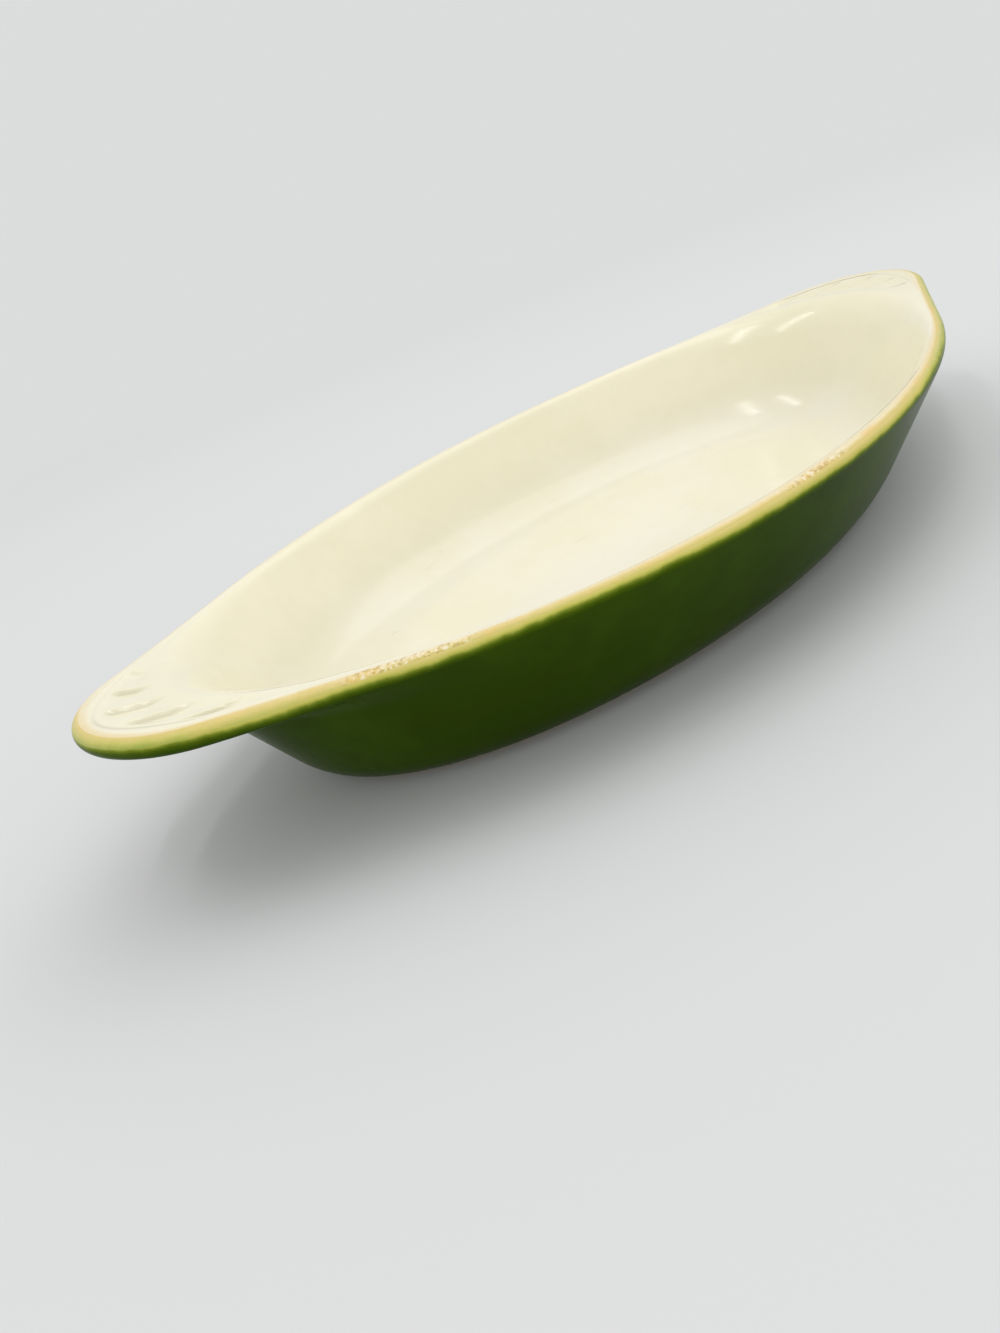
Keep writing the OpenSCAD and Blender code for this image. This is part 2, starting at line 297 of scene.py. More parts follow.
def lip_row(angle, t):
    corner, run = lip_corner(angle), lip_run(angle)
    top = rim_top((corner + run) * np.cos(angle))
    low = top - (1 * MM + 1.2 * run)
    inner = np.minimum(corner - 0.3 * MM, wall_reach(angle, low, WALL_LEVEL))
    p = bend([pair(corner + run, top), pair(corner, top), pair(inner, low)], t)
    return p[0], p[1], mix(math.pi / 2, math.pi - WALL_ANGLE, t)


def cove_row(angle, t):
    high = FLOOR_HEIGHT + 0.8 * COVE_SIZE
    p = bend([pair(wall_reach(angle, high, WALL_LEVEL), high),
              pair(wall_reach(angle, FLOOR_HEIGHT, WALL_LEVEL), FLOOR_HEIGHT),
              pair(wall_reach(angle, FLOOR_HEIGHT, WALL_LEVEL + COVE_SIZE), FLOOR_HEIGHT)], t)
    return p[0], p[1], mix(math.pi - WALL_ANGLE, math.pi / 2, t)


def floor_row(angle, t):
    reach = wall_reach(angle, FLOOR_HEIGHT, WALL_LEVEL + COVE_SIZE)
    return reach * (1 - t), FLOOR_HEIGHT + 0 * angle, math.pi / 2


print("Lip of the bowl at a lug, mm from the middle:", round(float(1000 * lip_corner(0.0)), 1))

# %% [markdown]
# ## The flutes of the lugs
#
# Each lug has a shallow field inside a plain border. Slanted flutes cross the inner part of the field and
# give fingers a grip. One flute rises slowly and then drops sharply, like a roof tile, so it throws a
# thin line of shade. Such relief could be a bump in the material, but a real shape keeps its shading from
# every side.

# %% Lug relief
# Width of the border at the tip and on a flank, as a share of the top, and the stations between the two
TIP_BORDER, FLANK_BORDER = 0.13, 0.3
BORDER_STEPS = 50
FIELD_DEPTH = 0.2 * MM
FLUTE_DEPTH = 0.7 * MM
# Share of a flute that rises, and how far the first flute lies before the tip, in stations
RISE = 0.9
FIRST_FLUTE = 10.2
# Stations from the tip where the relief starts and ends, and over which it fades
RELIEF_START, RELIEF_END, RELIEF_FADE = -64, 58, 14
PHASE = (TIP_STEP + FIRST_FLUTE) % FLUTE_STEPS / FLUTE_STEPS
BORDER = mix(TIP_BORDER, FLANK_BORDER, smooth(np.abs(TIP_STEP) / BORDER_STEPS))
ON_LUG = smooth((TIP_STEP - RELIEF_START) / RELIEF_FADE) * smooth((RELIEF_END - TIP_STEP) / RELIEF_FADE)


def field(t):
    """1 inside the border, 0 on it and at the lip."""
    return smooth((t - BORDER + 0.08) / 0.1) * smooth((1 - t) / 0.3)


def fluted(t):
    """1 in the part of the field that the flutes cross."""
    return smooth((t - BORDER - 0.08) / 0.16) * smooth((1 - t) / 0.35)


def lug_relief(t):
    """How far the lug's top is lowered at each station, at a place from its edge, 0, to the lip, 1."""
    left_to_rise = 1 - PHASE / RISE
    rising = mix(left_to_rise, left_to_rise ** 2, 0.6)
    dropping = smooth((PHASE - RISE) / (1 - RISE))
    flute = np.where(PHASE < RISE, rising, dropping)
    return ON_LUG * (FIELD_DEPTH * field(t) + FLUTE_DEPTH * fluted(t) * flute)


def lug_painted_shade(t):
    """1 at the foot of each drop and along the border, where the cream is darkened as painted shade, more
    along one side of the border.
    """
    drop = smooth(1 - np.minimum(PHASE, 1 - PHASE) / 0.12) * fluted(t)
    one_side = mix(0.15, 1, smooth((TIP_STEP + 16) / 20))
    border = smooth(1 - np.abs(t - BORDER - 0.02) / 0.045) * one_side
    return ON_LUG * np.maximum(drop, border)


print("Deepest relief, mm:", round(1000 * float(lug_relief(0.6).max()), 2))

# %% [markdown]
# ## Rings for the loft
#
# A ring is one profile row turned into points, one for each station. Each row also says what share of the
# glaze's thickness lies over the clay there: none where the clay is bare, all of it in the middle of a
# coat, and a few rings of taper between, because a glaze thins out towards its edge. The clay and a coat
# read the same rows, so they meet without a gap.

# %% Rings
ROWS = {"base": base_row, "corner": corner_row, "under": under_row, "edge": edge_row, "top": top_row,
        "lip": lip_row, "cove": cove_row, "floor": floor_row}
GREEN_LOW, GREEN_HIGH = 0.3, 0.64
TAPER = 5


def steps(kind, count, start=0.0, end=1.0):
    """Rows of one kind at even steps, without the last, which the next kind starts with."""
    return [(kind, t) for t in np.linspace(start, end, count, endpoint=False)]


def coat(rows, tapers_in=True, tapers_out=True):
    """Adds the share of the glaze's thickness to each row of a coat."""
    last = len(rows) - 1
    shares = [min(1, i / TAPER if tapers_in else 1, (last - i) / TAPER if tapers_out else 1)
              for i in range(len(rows))]
    return [(kind, t, share) for (kind, t), share in zip(rows, shares)]


def bare(rows):
    return [(kind, t, 0.0) for kind, t in rows]


def ring_points(kind, t, depth):
    """Points of one ring, at a depth below the finished surface."""
    if kind == "top":
        sweep = mix(OUTER_SWEEP, BOWL_SWEEP, mix(t, smooth(t), 0.25))
    else:
        sweep = BOWL_SWEEP if kind in ("lip", "cove", "floor") else OUTER_SWEEP
    angle = STATION_ANGLES + sweep * SWEEP_ANGLE * SWEEP_FADE
    if kind == "base":
        reach, height, facing = base_row(angle, *t)
    else:
        reach, height, facing = ROWS[kind](angle, t)
    reach = reach - depth * np.cos(facing)
    height = height - depth * np.sin(facing)
    if kind == "top":
        height = height - lug_relief(t)
    return np.stack([reach * np.cos(angle), reach * np.sin(angle), height], axis=1)


# Millimetres inwards from the foot ring: the base coat's rings, and the step down to it with heights
BASE_INSETS = (26, 18, 10, 6, 4.5, 3.5, 2.5, 1.5)
FOOT_STEP = ((1.0, 1.1), (0.5, 0.55), (0.25, 0.12), (0, 0))
BASE_COAT = coat([("base", (FOOT_INSET + inset * MM, FOOT_RECESS)) for inset in BASE_INSETS], tapers_in=False)
FOOT = bare([("base", (FOOT_INSET + inset * MM, height * MM)) for inset, height in FOOT_STEP]
            + steps("corner", 6, 0, GREEN_LOW))
GREEN_COAT = coat(steps("corner", 14, GREEN_LOW, 1) + steps("under", 20) + steps("edge", 18, 0, GREEN_HIGH)
                  + [("edge", GREEN_HIGH)])
RIM_BAND = bare(steps("edge", 10, GREEN_HIGH, 1)[1:])
CREAM_COAT = coat(steps("top", 60) + steps("lip", 12) + [("lip", 1.0)] + steps("cove", 16)
                  + steps("floor", 4), tapers_out=False)
print("Rings:", len(BASE_COAT + FOOT + GREEN_COAT + RIM_BAND + CREAM_COAT))

# %% [markdown]
# ## Lofting with extrude
#
# The loft is made the way it is made by hand. A circle is added, its vertices are moved onto the first
# ring, and the ring is extruded again and again, each new copy being moved onto the next ring. A station
# number is kept on every vertex, and extruding copies it, so each new vertex knows where it belongs. A
# last extrude that is merged at its middle closes the floor. Each ring can also leave marks on its
# vertices, such as the distance to the edge of the glaze, which the materials read later.

# %% Loft helpers
def place_ring(piece, points, marks):
    """Moves the selected ring onto its points and writes its marks."""
    shape = bmesh.from_edit_mesh(piece.data)
    station = shape.verts.layers.int["station"]
    layers = {name: shape.verts.layers.float[name] for name in marks}
    for vertex in shape.verts:
        if vertex.select:
            index = vertex[station]
            vertex.co = points[index]
            for name, values in marks.items():
                vertex[layers[name]] = values[index]
    bmesh.update_edit_mesh(piece.data)


def loft(name, rings, marks=None, close=None):
    """Lofts a list of rings into a new mesh object, and closes it at a middle point if one is given."""
    marks = marks or {}
    bpy.ops.object.select_all(action="DESELECT")
    bpy.ops.mesh.primitive_circle_add(vertices=STATIONS, radius=HALF_WIDTH)
    piece = bpy.context.object
    piece.name = name
    bpy.ops.object.mode_set(mode="EDIT")
    bpy.ops.mesh.select_all(action="SELECT")
    shape = bmesh.from_edit_mesh(piece.data)
    station = shape.verts.layers.int.new("station")
    for mark in marks:
        shape.verts.layers.float.new(mark)
    for index, vertex in enumerate(shape.verts):
        vertex[station] = index
    for i, ring in enumerate(rings):
        if i > 0:
            bpy.ops.mesh.extrude_edges_indiv()
        place_ring(piece, ring, {mark: values[i] for mark, values in marks.items()})
    if close is not None:
        bpy.ops.mesh.extrude_edges_indiv()
        place_ring(piece, np.tile(close, (STATIONS, 1)), {})
        bpy.ops.mesh.merge(type="CENTER")
    bpy.ops.object.mode_set(mode="OBJECT")
    return piece


def weld(name, parts):
    """Joins lofts that share rings into one closed piece with its faces pointing outwards."""
    bpy.ops.object.select_all(action="DESELECT")
    for part in parts:
        part.select_set(True)
    bpy.context.view_layer.objects.active = parts[0]
    bpy.ops.object.join()
    piece = bpy.context.object
    piece.name = name
    piece.data.name = name
    bpy.ops.object.mode_set(mode="EDIT")
    bpy.ops.mesh.select_all(action="SELECT")
    bpy.ops.mesh.remove_doubles(threshold=0.000002)
    bpy.ops.mesh.normals_make_consistent(inside=False)
    bpy.ops.object.mode_set(mode="OBJECT")
    bpy.ops.object.shade_smooth_by_angle(angle=math.radians(50))
    piece.data.attributes.remove(piece.data.attributes["station"])
    print(name, "has", len(piece.data.polygons), "faces")
    return piece


def face_rings(rows):
    """Rings of the finished surface."""
    return [ring_points(kind, t, 0) for kind, t, share in rows]


def back_rings(rows):
    """Rings of the clay under a coat."""
    return [ring_points(kind, t, GLAZE * share) for kind, t, share in rows]


def run_lengths(rings):
    """Distance in millimetres along each station from the first ring to every ring."""
    lengths = [np.zeros(STATIONS)]
    for last, ring in zip(rings, rings[1:]):
        lengths.append(lengths[-1] + 1000 * np.linalg.norm(ring - last, axis=1))
    return lengths


# %% [markdown]
# ## The cream coat
#
# The cream glaze starts thin on the rim's crest, covers the lug tops and fills the bowl. Its face and its
# back are two lofts that share their first ring, so the coat ends in a fine wedge, as a dipped glaze
# does. Three marks are kept on its vertices: the distance from its edge on the rim, the distance from the
# brow of the lip, where the rim turns down into the bowl, and how much painted shade darkens the grooves
# and border of the lugs.

# %% Cream coat
LIP_BROW = [row[:2] for row in CREAM_COAT].index(("lip", 0.0)) + 2
cream_rings = face_rings(CREAM_COAT)
cream_gap = run_lengths(cream_rings)
# Painted shade, darkest at the foot of each drop and along the border of the lugs.
painted_shade_rings = [lug_painted_shade(t) if kind == "top" else np.zeros(STATIONS) for kind, t, share in CREAM_COAT]
brow_gap = [gap - cream_gap[LIP_BROW] for gap in cream_gap]
cream_marks = {"rim_gap": cream_gap, "brow_gap": brow_gap, "pool": painted_shade_rings}
cream_face = loft("cream_face", cream_rings, cream_marks, close=(0, 0, FLOOR_HEIGHT))
cream_back = loft("cream_back", back_rings(CREAM_COAT), cream_marks, close=(0, 0, FLOOR_HEIGHT - GLAZE))
cream_coat = weld("cream_coat", [cream_face, cream_back])

# %% [markdown]
# ## The green coat
#
# The green glaze covers the outer wall and the undersides of the lugs. It starts on the rim's outer edge
# and stops just above the foot, so it is lofted from the rim downwards and thins to nothing at both ends.

# %% Green coat
green_rows = GREEN_COAT[::-1]
green_rings = face_rings(green_rows)
green_marks = {"rim_gap": run_lengths(green_rings)}
green_coat = weld("green_coat", [loft("green_face", green_rings, green_marks),
                                 loft("green_back", back_rings(green_rows), green_marks)])

# %% [markdown]
# ## The coat under the base
#
# A potter wipes the foot ring clean so that the dish doesn't stick to the kiln shelf. Inside the ring an
# island of glaze stays behind. It never touches the table.

# %% Base coat
base_rows = BASE_COAT[::-1]
base_coat = weld("base_coat", [loft("base_face", face_rings(base_rows), close=(0, 0, FOOT_RECESS)),
                               loft("base_back", back_rings(base_rows), close=(0, 0, FOOT_RECESS + GLAZE))])

# %% [markdown]
# ## The clay
#
# The clay lies under all three coats and comes to the surface in two places, the foot ring and the band
# on the rim. It is lofted in one run from the base to the middle of the bowl. Its mark says how far
# across the band a point is, from 0 at the green glaze to 1 at the cream.

# %% Clay body
def band_place(kind, t):
    if kind == "edge":
        return np.clip((t - GREEN_HIGH) / (1 - GREEN_HIGH), 0, 1)
    return float(kind in ("top", "lip"))


clay_rows = BASE_COAT + FOOT + GREEN_COAT + RIM_BAND + CREAM_COAT
clay_rings = back_rings(clay_rows)
bands = [np.full(STATIONS, band_place(kind, t)) for kind, t, share in clay_rows]
clay_base = loft("clay_base", clay_rings[:2][::-1], close=(0, 0, FOOT_RECESS + GLAZE))
clay_shell = loft("clay_shell", clay_rings[1:], {"band": bands[1:]}, close=(0, 0, FLOOR_HEIGHT - GLAZE))
clay_body = weld("clay_body", [clay_shell, clay_base])

# %% [markdown]
# ## Writing shaders as sums
#
# Node trees are easier to read as formulas. The small class below wraps a socket, so that `a * 2 + b`
# adds Math nodes. Everything else comes from one method of the paint, which takes a node's type, its
# settings and its inputs.

# %% Shader helpers
def srgb(red, green, blue):
    """A colour as a paint program shows it, turned into the linear values that shaders use."""
    parts = [c / 255 for c in (red, green, blue)]
    return tuple(c / 12.92 if c <= 0.04045 else ((c + 0.055) / 1.055) ** 2.4 for c in parts) + (1.0,)


class Value:
    """A socket that can be used in arithmetic."""

    def __init__(self, paint, socket):
        self.paint = paint
        self.socket = socket

    def maths(self, operation, a, b):
        return self.paint.node("ShaderNodeMath", {"operation": operation}, {0: a, 1: b})

    def __add__(self, other):
        return self.maths("ADD", self, other)

    def __radd__(self, other):
        return self.maths("ADD", other, self)

    def __sub__(self, other):
        return self.maths("SUBTRACT", self, other)

    def __rsub__(self, other):
        return self.maths("SUBTRACT", other, self)

    def __mul__(self, other):
        return self.maths("MULTIPLY", self, other)

    def __rmul__(self, other):
        return self.maths("MULTIPLY", other, self)

    def __truediv__(self, other):
        return self.maths("DIVIDE", self, other)

    def __abs__(self):
        return self.maths("ABSOLUTE", self, 0.0)


class Paint:
    """The node tree of a material or world that is being mixed."""

    def __init__(self, owner):
        owner.use_nodes = True
        self.owner = owner
        self.tree = owner.node_tree
        self.tree.nodes.clear()

    def node(self, kind, settings=None, inputs=None, output=0):
        """Adds a node, sets it up, feeds its sockets and returns one of its outputs."""
        made = self.tree.nodes.new(kind)
        for key, value in (settings or {}).items():
            if key == "stops":
                while len(made.color_ramp.elements) < len(value):
                    made.color_ramp.elements.new(0.5)
                for element, (place, colour) in zip(made.color_ramp.elements, value):
                    element.position = place
                    element.color = colour
            else:
                setattr(made, key, value)
        for key, value in (inputs or {}).items():
            if isinstance(value, Value):
                self.tree.links.new(value.socket, made.inputs[key])
            else:
                made.inputs[key].default_value = value
        return Value(self, made.outputs[output]) if made.outputs else None

    def place(self):
        """Object coordinates, in metres."""
        return self.node("ShaderNodeTexCoord", output="Object")

    def axis(self, letter):
        """One of the object coordinates."""
        return self.node("ShaderNodeSeparateXYZ", {}, {"Vector": self.place()}, letter)

    def mark(self, name):
        """A number that the loft left on each vertex."""
        return self.node("ShaderNodeAttribute", {"attribute_name": name}, output="Fac")

    def noise(self, scale, detail=3.0, roughness=0.55, place=None):
        """Cloudy numbers about 0.5, with a scale in features per metre."""
        return self.node("ShaderNodeTexNoise", {"noise_dimensions": "3D"},
                         {"Vector": place or self.place(), "Scale": scale, "Detail": detail,
                          "Roughness": roughness}, output="Fac")

    def ramp(self, value, low, high):
        """0 at low and before it, 1 at high and after it, smooth between. Low may be the larger number."""
        return self.node("ShaderNodeMapRange", {"interpolation_type": "SMOOTHSTEP"},
                         {"Value": value, "From Min": low, "From Max": high})

    def near(self, middle, inner, outer):
        """1 within the inner radius of a place, 0 beyond the outer one."""
        ends = {0: self.place(), 1: middle}
        away = self.node("ShaderNodeVectorMath", {"operation": "DISTANCE"}, ends, "Value")
        return 1 - self.ramp(away, inner, outer)

    def blend(self, share, first, second):
        """Mixes two colours."""
        return self.node("ShaderNodeMix", {"data_type": "RGBA"},
                         {"Factor": share, 6: first, 7: second}, output=2)

    def gradient(self, value, stops):
        """Colour from a list of places and colours."""
        return self.node("ShaderNodeValToRGB", {"stops": stops}, {"Fac": value})

    def bump(self, height, distance, strength=1.0, normal=None):
        inputs = {"Height": height, "Distance": distance, "Strength": strength}
        if normal is not None:
            inputs["Normal"] = normal
        return self.node("ShaderNodeBump", {}, inputs)

    def scratches(self, turn, amount):
        """Fine straight scratches, as the level lines of a stretched noise, kept in a few places."""
        stretched = self.node("ShaderNodeMapping", {}, {"Vector": self.place(), "Rotation": turn,
                                                        "Scale": (25.0, 800.0, 800.0)})
        level = self.noise(1.0, 0.0, place=stretched) - 0.5
        lines = 1 - self.ramp(abs(level), 0.0, 0.03)
        return lines * self.ramp(self.noise(60, 1), 0.72 - amount, 0.78 - amount)

    def surface(self, **inputs):
        """The shader itself, joined to the material's output."""
        named = {key.replace("_", " "): value for key, value in inputs.items()}
        shader = self.node("ShaderNodeBsdfPrincipled", {}, named)
        self.node("ShaderNodeOutputMaterial", {}, {"Surface": shader})
        return self.owner


# %% [markdown]
# ## Where the glazes vary
#
# A glaze that was dipped by hand never ends in a perfect line. Here the line between clay and green glaze
# sags and rises along the dish. The far side of the rim, the right lug and the tip of the left lug also
# have colours of their own. Each place is 1 where it applies and 0 elsewhere, and the materials below mix
# by it.

# %% Places on the dish
# Places along the dish and how far the line between clay and green glaze sags there, both in millimetres
GLAZE_LINE = [(-115, -0.45), (-107, -0.4), (-90, 0.0), (-78, 0.75), (-57, 0.2), (-22, 0.7), (8, 1.1),
              (50, -0.6), (115, -0.8)]


def glaze_line(paint):
    """The sag of the glaze line in millimetres, from a grey ramp along the dish."""
    along = 0.5 + paint.axis("X") / (2 * HALF_LENGTH)
    stops = [(0.5 + x * MM / (2 * HALF_LENGTH), (0.5 + sag / 4,) * 3 + (1.0,)) for x, sag in GLAZE_LINE]
    return 4 * paint.gradient(along, stops) - 2


def far_side(paint):
    return paint.ramp(paint.axis("Y"), 0.0, 0.02)


def right_lug(paint):
    return paint.ramp(paint.axis("X"), 0.08, 0.105)


def left_tip(paint):
    return paint.ramp(paint.axis("X"), -0.098, -0.11)


# %% [markdown]
# ## Cream glaze
#
# The cream is warm and not quite even. Its wall is painted a little lighter and yellower than its floor, and
# its right lug a little darker, as painted light and shade that even out how light falls on them. Within two
# millimetres of its edge on the rim it thins, and the clay below warms it, less so on the far side. In the
# grooves of the lugs and along their border it is darkened as painted shade, and along one side a thin
# painted shadow line runs on the brow of the lip. The fired surface is glossy but gently uneven, so
# reflections waver. A few dark specks of iron sit in the glaze, and spoons have left faint grey marks.

# %% Cream glaze material
FLOOR_CREAM, WALL_CREAM = srgb(236, 231, 212), srgb(240, 234, 208)
CLOUDY_CREAM, RIGHT_LUG_SHADE = srgb(231, 225, 195), srgb(224, 217, 186)
WARM_CREAM, GROOVE_SHADE_CREAM = srgb(229, 208, 152), srgb(160, 152, 120)
BROW_SHADOW, SPECK_BROWN, SPOON_GREY = srgb(122, 106, 76), srgb(112, 92, 66), srgb(120, 116, 108)


def cream_glaze():
    paint = Paint(bpy.data.materials.new("cream_glaze"))
    cloud = paint.noise(28, 3)
    fine = paint.noise(240, 2)
    wall = paint.ramp(paint.axis("Z") + 0.003 * (cloud - 0.5), FLOOR_HEIGHT, FLOOR_HEIGHT + 0.018)
    # Painted light and shade: the wall's cream is lighter and yellower than the floor's, evening out how
    # light falls in the bowl.
    cream = paint.blend(wall, FLOOR_CREAM, WALL_CREAM)
    cream = paint.blend(0.5 * paint.ramp(cloud + 0.25 * fine, 0.5, 0.8), cream, CLOUDY_CREAM)
    # Painted shade: the right lug's cream is darkened a little.
    cream = paint.blend(0.55 * right_lug(paint), cream, RIGHT_LUG_SHADE)
    uneven = 1.2 * (paint.noise(420, 3) - 0.5) + 0.8 * (cloud - 0.5)
    thin = 1 - paint.ramp(paint.mark("rim_gap") + 0.4 * glaze_line(paint) + uneven, 0.0, 1.9)
    warmth = 0.85 * (1 - 0.7 * far_side(paint)) * (1 - 0.6 * right_lug(paint))
    colour = paint.blend(warmth * thin, cream, WARM_CREAM)
    # Painted shade in the grooves and along the border of the lugs, stronger on the right lug.
    pool = paint.mark("pool") * (0.36 + 0.64 * right_lug(paint))
    colour = paint.blend(pool, colour, GROOVE_SHADE_CREAM)
    # Painted shadow: a thin dark line on the brow of the lip, on the near side only.
    line = 1 - paint.ramp(abs(paint.mark("brow_gap")), 0.06, 0.28)
    one_side = paint.ramp(paint.axis("Y"), -0.012, -0.02) * paint.ramp(paint.axis("X"), 0.042, 0.032)
    brow_shadow = line * one_side * paint.ramp(cloud + 0.4 * fine, 0.45, 0.7)
    colour = paint.blend(0.6 * brow_shadow, colour, BROW_SHADOW)
    cells = {"Vector": paint.place(), "Scale": 95.0}
    speck_size = paint.node("ShaderNodeTexVoronoi", {"feature": "F1"}, cells)
    speck_pick = paint.node("ShaderNodeSeparateColor", {}, {
        "Color": paint.node("ShaderNodeTexVoronoi", {"feature": "F1"}, cells, "Color")})
    specks = (1 - paint.ramp(speck_size, 0.018, 0.034)) * paint.ramp(speck_pick, 0.8, 0.82)
    colour = paint.blend(0.65 * specks, colour, SPECK_BROWN)
    spoon = paint.scratches((0.2, 0.1, 0.6), 0.06) * (1 - wall)
    colour = paint.blend(0.1 * spoon, colour, SPOON_GREY)
    waves = paint.bump(paint.noise(34, 1), 0.0004, 0.4)
    peel = paint.bump(paint.noise(900, 1), 0.00002, 0.25, waves)
    rough = 0.12 + 0.08 * fine + 0.16 * thin + 0.1 * spoon
    return paint.surface(Base_Color=colour, Roughness=rough, IOR=1.5, Normal=peel)


# %% [markdown]
# ## Green glaze
#
# The green is nearly black-olive where it is thick. Towards the rim it breaks over the edge: it runs thin
# and turns from bottle green through yellow-green to the tan of the clay. At the right end this takes
# about twice the distance. Faint clouding and a few hair scratches keep the wall from looking like
# plastic. The dark glaze mirrors little, so its specular level is low.

# %% Green glaze material
DEEP_GREEN, CLOUDY_GREEN, SCRATCH_GREEN = srgb(45, 66, 2), srgb(54, 78, 5), srgb(130, 142, 96)
BREAKING_GREEN = [(0.0, srgb(224, 205, 134)), (0.25, srgb(207, 197, 108)), (0.35, srgb(188, 188, 86)),
                  (0.48, srgb(116, 132, 38)), (0.62, srgb(74, 95, 12)), (1.0, DEEP_GREEN)]
# Millimetres over which the green breaks, above and below its usual line
BREAK_ABOVE, BREAK_BELOW = 0.8, 2.4


def green_glaze(name, breaks):
    paint = Paint(bpy.data.materials.new(name))
    cloud = paint.noise(45, 4)
    fine = paint.noise(600, 2)
    colour = paint.blend(paint.ramp(cloud, 0.35, 0.7), DEEP_GREEN, CLOUDY_GREEN)
    if breaks:
        uneven = 0.8 * (paint.noise(300, 3) - 0.5) + 1.0 * (paint.noise(55, 2) - 0.5)
        pace = 1 - 0.55 * paint.ramp(paint.axis("X"), 0.02, 0.06)
        gap = pace * (paint.mark("rim_gap") - glaze_line(paint) + uneven)
        breaking = paint.gradient((gap + BREAK_ABOVE) / (BREAK_ABOVE + BREAK_BELOW), BREAKING_GREEN)
        colour = paint.blend(paint.ramp(gap, 0.5 * BREAK_BELOW, BREAK_BELOW), breaking, colour)
    hair = paint.scratches((0.3, 0.9, 0.5), 0.0)
    colour = paint.blend(0.15 * hair, colour, SCRATCH_GREEN)
    waves = paint.bump(paint.noise(60, 1), 0.0002, 0.3)
    peel = paint.bump(fine, 0.00002, 0.25, waves)
    rough = 0.18 + 0.12 * cloud + 0.2 * hair
    return paint.surface(Base_Color=colour, Roughness=rough, IOR=1.5, Specular_IOR_Level=0.022, Normal=peel)


# %% [markdown]
# ## Buff clay
#
# The clay shows as a band on the rim, sealed by a breath of glaze, and as the dry foot ring below. Across
# the band it goes from yellow-green near the green glaze through golden tan to cream. It is greener at
# the tips of the lugs and creamier on the far side. The rim is worn rough in two places, where the pale
# and dark grains of the body show. The foot ring is matt.

# %% Clay material
# Middle, inner and outer radius of each worn patch
ROUGH_PATCHES = [((-0.0765, -0.0342, 0.0295), 0.006, 0.012), ((-0.008, -0.0568, 0.0283), 0.004, 0.011)]
GOLDEN_TAN, GRAIN_BROWN = srgb(230, 192, 108), srgb(190, 154, 92)
FOOT_PALE, FOOT_DARK = srgb(206, 186, 148), srgb(178, 154, 114)
WORN_PALE, PIT_BROWN = srgb(242, 232, 206), srgb(164, 132, 82)
BAND_COLOURS = [(0.0, srgb(112, 134, 36)), (0.22, srgb(160, 174, 62)), (0.42, srgb(199, 194, 98)),
                (0.55, srgb(209, 194, 108)), (0.7, srgb(219, 198, 122)), (0.85, srgb(229, 210, 153)),
                (1.0, srgb(236, 223, 186))]


def buff_clay():
    paint = Paint(bpy.data.materials.new("buff_clay"))
    at_rim = paint.ramp(paint.axis("Z"), 0.012, 0.02)
    grain = paint.noise(1500, 3, 0.7)
    cloud = paint.noise(110, 3)
    band = paint.mark("band") + 0.45 * glaze_line(paint) - 0.2 + 0.5 * (paint.noise(420, 3) - 0.5)
    band = band + 0.9 * far_side(paint) - 0.25 * left_tip(paint) - 0.2 * right_lug(paint)
    rim = paint.gradient(0.5 + 0.5 * band, BAND_COLOURS)
    golden = 0.5 * (1 - far_side(paint)) * (1 - right_lug(paint)) * (1 - 0.8 * left_tip(paint))
    rim = paint.blend(golden * paint.ramp(cloud, 0.45, 0.65), rim, GOLDEN_TAN)
    rim = paint.blend(0.25 * paint.ramp(grain, 0.55, 0.75), rim, GRAIN_BROWN)
    foot = paint.blend(paint.ramp(grain, 0.4, 0.7), FOOT_PALE, FOOT_DARK)
    colour = paint.blend(at_rim, foot, rim)
    worn = sum(paint.near(*patch) for patch in ROUGH_PATCHES)
    speckle = paint.noise(1500, 2, 0.6)
    colour = paint.blend(0.75 * worn * paint.ramp(speckle, 0.52, 0.6), colour, WORN_PALE)
    pits = (1 - paint.ramp(speckle, 0.36, 0.44)) * (0.04 + 0.7 * worn)
    colour = paint.blend(0.5 * pits, colour, PIT_BROWN)
    rough = 0.82 - 0.46 * at_rim + 0.15 * (grain - 0.5)
    rough_skin = paint.bump(grain - 2 * pits, 0.0001, 0.6)
    return paint.surface(Base_Color=colour, Roughness=rough, IOR=1.5, Normal=rough_skin)


# %% [markdown]
# ## Dressing the pieces
#
# Each piece takes its material, rides on the dish's only body and stands for one CAD node, which is then
# hidden.

# %% Assign materials and tie the pieces to the frame
for piece, material, node, slot in (
        (clay_body, buff_clay(), "stoneware_body", "stoneware"),
        (cream_coat, cream_glaze(), "inner_glaze", "cream_glaze"),
        (green_coat, green_glaze("green_glaze", True), "outer_glaze", "green_glaze"),
        (base_coat, green_glaze("base_green", False), "base_glaze", "base_green")):
    piece.data.materials.clear()
    piece.data.materials.append(material)
    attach(piece, "root")
    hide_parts(node)
    print(piece.name, "stands for", node)

# %% [markdown]
# ## Floor and background
#
# The dish stands on a pale floor that runs on without an edge. Far from the dish the floor shows the
# plain background colour to the camera and to reflections, so no horizon is seen, and near the dish it is
# an ordinary matt surface that takes its shadow.

# %% Floor
PALE_GREY = srgb(214, 215, 215)
BACKGROUND_LEVEL = 1.06
bpy.ops.object.select_all(action="DESELECT")
bpy.ops.mesh.primitive_plane_add(size=8)
floor = bpy.context.object
floor.name = "floor"


def seen_directly(paint):
    """1 for rays that show the background: those of the camera, of reflections and through glass."""
    kinds = [paint.node("ShaderNodeLightPath", output=ray)
             for ray in ("Is Camera Ray", "Is Glossy Ray", "Is Transmission Ray")]
    return kinds[0] + kinds[1] + kinds[2]


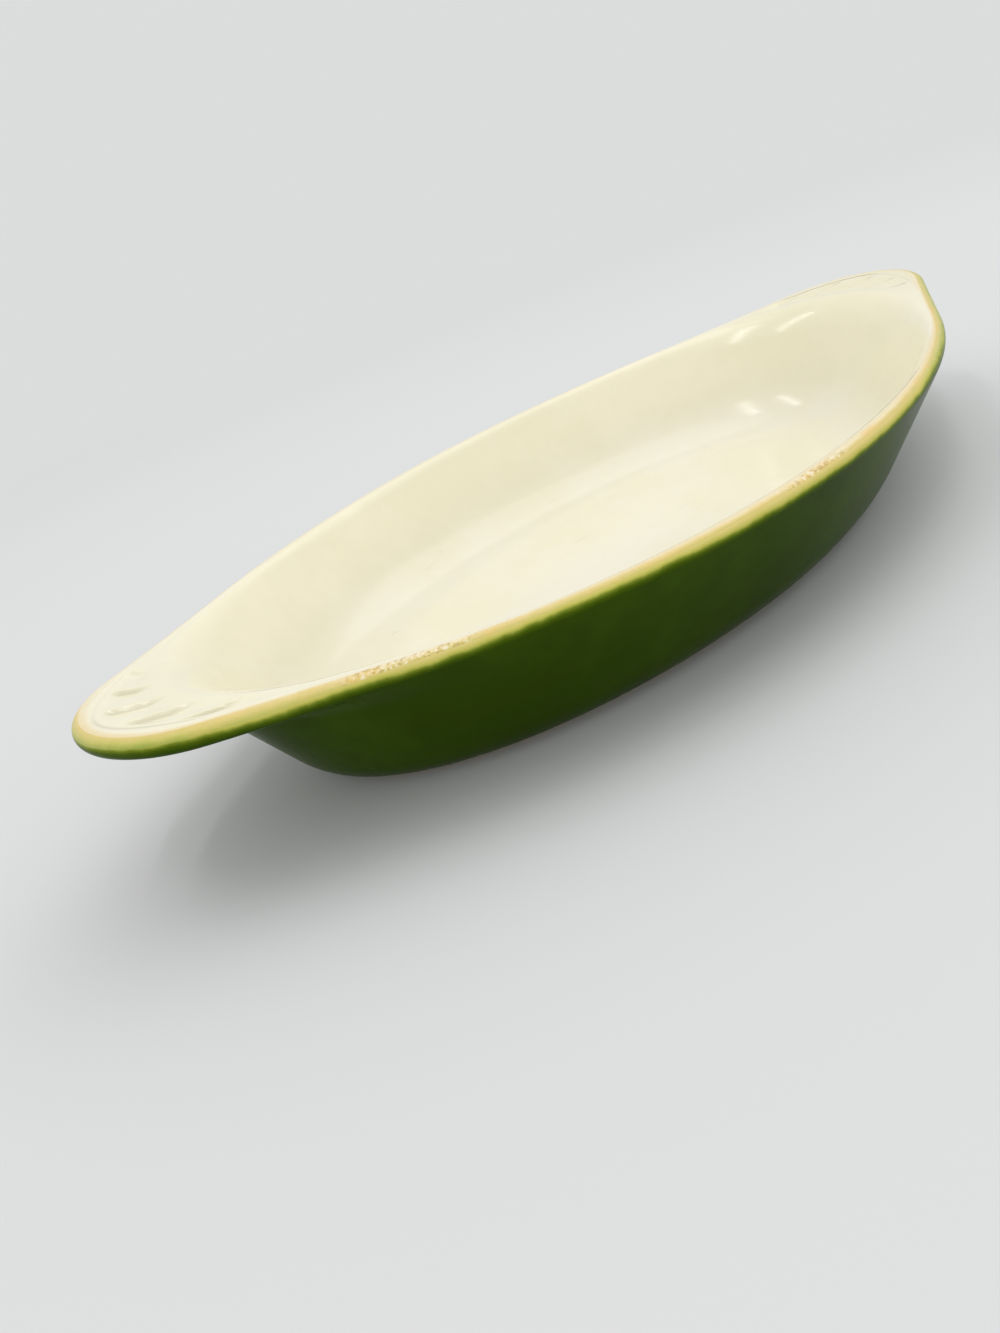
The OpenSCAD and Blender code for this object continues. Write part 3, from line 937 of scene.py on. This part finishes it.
def pale_floor():
    paint = Paint(bpy.data.materials.new("pale_floor"))
    away = paint.node("ShaderNodeVectorMath", {"operation": "LENGTH"}, {0: paint.place()}, "Value")
    matt = paint.node("ShaderNodeBsdfDiffuse", {}, {"Color": PALE_GREY})
    plain = paint.node("ShaderNodeEmission", {}, {"Color": PALE_GREY, "Strength": BACKGROUND_LEVEL})
    share = paint.ramp(away, 0.25, 1.0) * seen_directly(paint)
    both = paint.node("ShaderNodeMixShader", {}, {0: share, 1: matt, 2: plain})
    paint.node("ShaderNodeOutputMaterial", {}, {"Surface": both})
    return paint.owner


floor.data.materials.append(pale_floor())
print("Floor is 8 m square")

# %% [markdown]
# ## Light
#
# Most of the light is even: the room all round, and a large soft panel above the far end of the dish,
# which leaves a sheen in the bowl. Two long narrow tubes hang side by side over the dish. They add little
# light, but the glossy bowl shows them as two short streaks, and the flutes get a little shade. The lamps
# are hidden from the camera. The level is set so that the cream comes out about as it is written.

# %% World and lamps
studio = Paint(bpy.data.worlds.new("studio"))
bpy.context.scene.world = studio.owner
room = studio.node("ShaderNodeBackground", {}, {"Color": (1, 1, 1, 1), "Strength": 0.86})
shown = studio.node("ShaderNodeBackground", {}, {"Color": PALE_GREY, "Strength": BACKGROUND_LEVEL})
chosen = studio.node("ShaderNodeMixShader", {}, {0: seen_directly(studio), 1: room, 2: shown})
studio.node("ShaderNodeOutputWorld", {}, {"Surface": chosen})


def panel(name, place, length, width, power, along=(1, 0, 0)):
    """A rectangular lamp that points at the dish, with its length along a direction."""
    bpy.ops.object.light_add(type="AREA")
    lamp = bpy.context.object
    lamp.name = name
    lamp.data.shape = "RECTANGLE"
    lamp.data.size = length
    lamp.data.size_y = width
    lamp.data.energy = power
    lamp.visible_camera = False
    away = Vector(place).normalized()
    across = away.cross(Vector(along)).normalized()
    turn = Matrix((across.cross(away), across, away)).transposed()
    lamp.matrix_world = Matrix.Translation(place) @ turn.to_4x4()


TUBE_DIRECTION = (0.67, 0.74, 0.1)
panel("soft_panel", (0.6, -0.1, 1.15), 1.2, 0.9, 3.2)
panel("left_tube", (-0.156, -0.154, 0.987), 0.5, 0.05, 0.7, TUBE_DIRECTION)
panel("right_tube", (-0.235, 0.207, 0.955), 0.5, 0.05, 0.7, TUBE_DIRECTION)

# %% [markdown]
# ## Camera
#
# The view was worked out by fitting the outline of the rim, lugs and foot to the picture. The camera is
# close, with a wide lens, and is rolled, because the picture shows the dish leaning to one side.

# %% Camera
VIEW_PLACE = Vector((-0.1367, -0.1465, 0.0826))
VIEW_AZIMUTH, VIEW_ELEVATION, VIEW_ROLL = (math.radians(a) for a in (-33.54, 25.19, -20.05))
back = Vector((math.sin(VIEW_AZIMUTH) * math.cos(VIEW_ELEVATION),
               -math.cos(VIEW_AZIMUTH) * math.cos(VIEW_ELEVATION), math.sin(VIEW_ELEVATION)))
level = (-back).cross(Vector((0, 0, 1))).normalized()
upright = level.cross(-back)
right = math.cos(VIEW_ROLL) * level + math.sin(VIEW_ROLL) * upright
up = math.cos(VIEW_ROLL) * upright - math.sin(VIEW_ROLL) * level
bpy.ops.object.camera_add(location=VIEW_PLACE)
camera = bpy.context.object
camera.name = "camera"
camera.matrix_world = Matrix.Translation(VIEW_PLACE) @ Matrix((right, up, back)).transposed().to_4x4()
camera.data.lens = 26.0
camera.data.sensor_width = 36.0
camera.data.clip_start = 0.005
bpy.context.scene.camera = camera
bpy.context.scene.view_settings.view_transform = "Standard"
print("Camera at", [round(c, 4) for c in camera.location])
